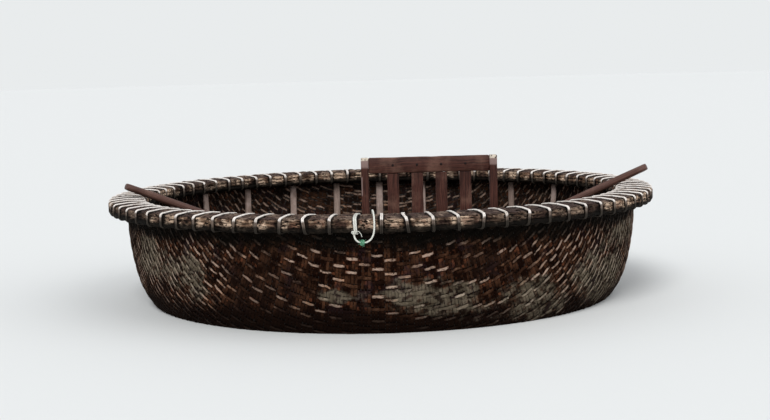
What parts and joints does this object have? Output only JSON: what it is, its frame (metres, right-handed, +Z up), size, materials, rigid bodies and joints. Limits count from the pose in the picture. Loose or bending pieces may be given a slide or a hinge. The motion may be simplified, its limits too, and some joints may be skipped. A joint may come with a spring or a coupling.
{
  "type": "round woven bamboo basket boat",
  "caption": "Round bowl-shaped woven bamboo basket boat with a lashed rim, inner ribs, a plank thwart, a backed centre seat and wooden paddles.",
  "frame": {"origin": "centre of the boat on the water plane, where the upright hull floats", "axes": "+Z up out of the water, -Y towards the side the seat faces, +X along the thwart"},
  "size_m": [2.1482, 2.1671, 0.7754],
  "materials": {
    "hull_weave": "weathered split bamboo, dark and oiled, worn",
    "rim_bamboo": "weathered bamboo bundle, rough",
    "lashing_cord": "twisted cord, faded",
    "tie_cord": "twisted cord, pale",
    "green_twine": "frayed twine",
    "rib_bamboo": "split bamboo, grey and worn",
    "thwart_wood": "weathered boards",
    "seat_wood": "reddish-brown wood, worn edges",
    "paddle_wood": "reddish-brown wood, greyed shaft"
  },
  "bodies": {
    "root": {"inner_hoop_high": "rim_bamboo", "inner_hoop_low": "rim_bamboo", "inner_hoop_mid": "rim_bamboo", "outer_hoop_high": "rim_bamboo", "outer_hoop_low": "rim_bamboo", "outer_hoop_mid": "rim_bamboo", "paddle_left": "paddle_wood", "paddle_right": "paddle_wood", "rib_across_1": "rib_bamboo", "rib_across_2": "rib_bamboo", "rib_across_3": "rib_bamboo", "rib_across_4": "rib_bamboo", "rib_across_5": "rib_bamboo", "rib_across_6": "rib_bamboo", "rib_across_7": "rib_bamboo", "rib_fore_aft_1": "rib_bamboo", "rib_fore_aft_2": "rib_bamboo", "rib_fore_aft_3": "rib_bamboo", "rib_fore_aft_4": "rib_bamboo", "rib_fore_aft_5": "rib_bamboo", "rib_fore_aft_6": "rib_bamboo", "rib_fore_aft_7": "rib_bamboo", "rim_cap": "rim_bamboo", "rim_lashings": "lashing_cord", "seat_back_low_rail": "seat_wood", "seat_back_post_left": "seat_wood", "seat_back_post_right": "seat_wood", "seat_back_slats": "seat_wood", "seat_back_top_rail": "seat_wood", "seat_front_leg_left": "seat_wood", "seat_front_leg_right": "seat_wood", "seat_rail_left": "seat_wood", "seat_rail_right": "seat_wood", "seat_stretcher_left": "seat_wood", "seat_stretcher_right": "seat_wood", "thwart_ledger_left": "thwart_wood", "thwart_ledger_right": "thwart_wood", "thwart_plank_back": "thwart_wood", "thwart_plank_front": "thwart_wood", "thwart_plank_mid": "thwart_wood", "tie_cord": "tie_cord", "tie_knot_end": "tie_cord", "tie_knot_green": "green_twine", "tie_knot_start": "tie_cord", "tie_lashing": "tie_cord", "woven_hull": "hull_weave"}
  },
  "joints": []
}
